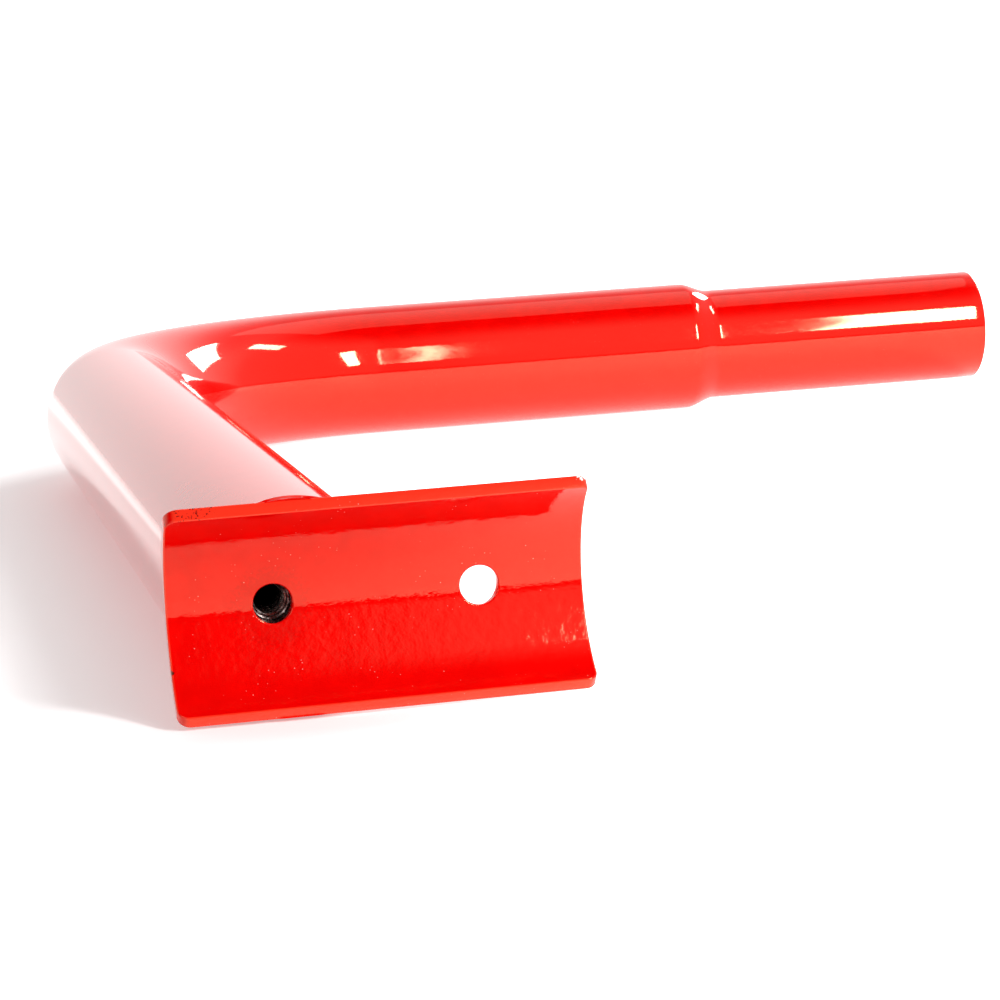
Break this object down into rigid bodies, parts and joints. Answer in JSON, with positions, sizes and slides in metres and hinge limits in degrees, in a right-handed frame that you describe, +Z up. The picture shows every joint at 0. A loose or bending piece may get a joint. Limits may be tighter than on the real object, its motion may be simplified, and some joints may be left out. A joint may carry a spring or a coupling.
{
  "type": "post driver handle",
  "caption": "Bolt-on handle of a post driver: a bent, swaged steel tube welded to a small curved saddle plate that seats on the driver's barrel.",
  "frame": {"origin": "middle of the saddle seat, on its lowest line, halfway between the two bolt holes", "axes": "+X along the barrel and the grip towards the swaged end, +Y from the barrel out along the arm, +Z up as it lies flat"},
  "size_m": [0.2953, 0.4255, 0.0394],
  "materials": {
    "saddle_paint": "gloss bright red powder coat",
    "tube_paint": "gloss bright red powder coat",
    "weld_paint": "gloss bright red powder coat over a rippled weld",
    "insert_steel": "bare dark steel with a cut thread"
  },
  "bodies": {
    "root": {"saddle_plate": "saddle_paint", "handle_tube": "tube_paint", "weld_bead": "weld_paint", "threaded_insert": "insert_steel"}
  },
  "joints": []
}
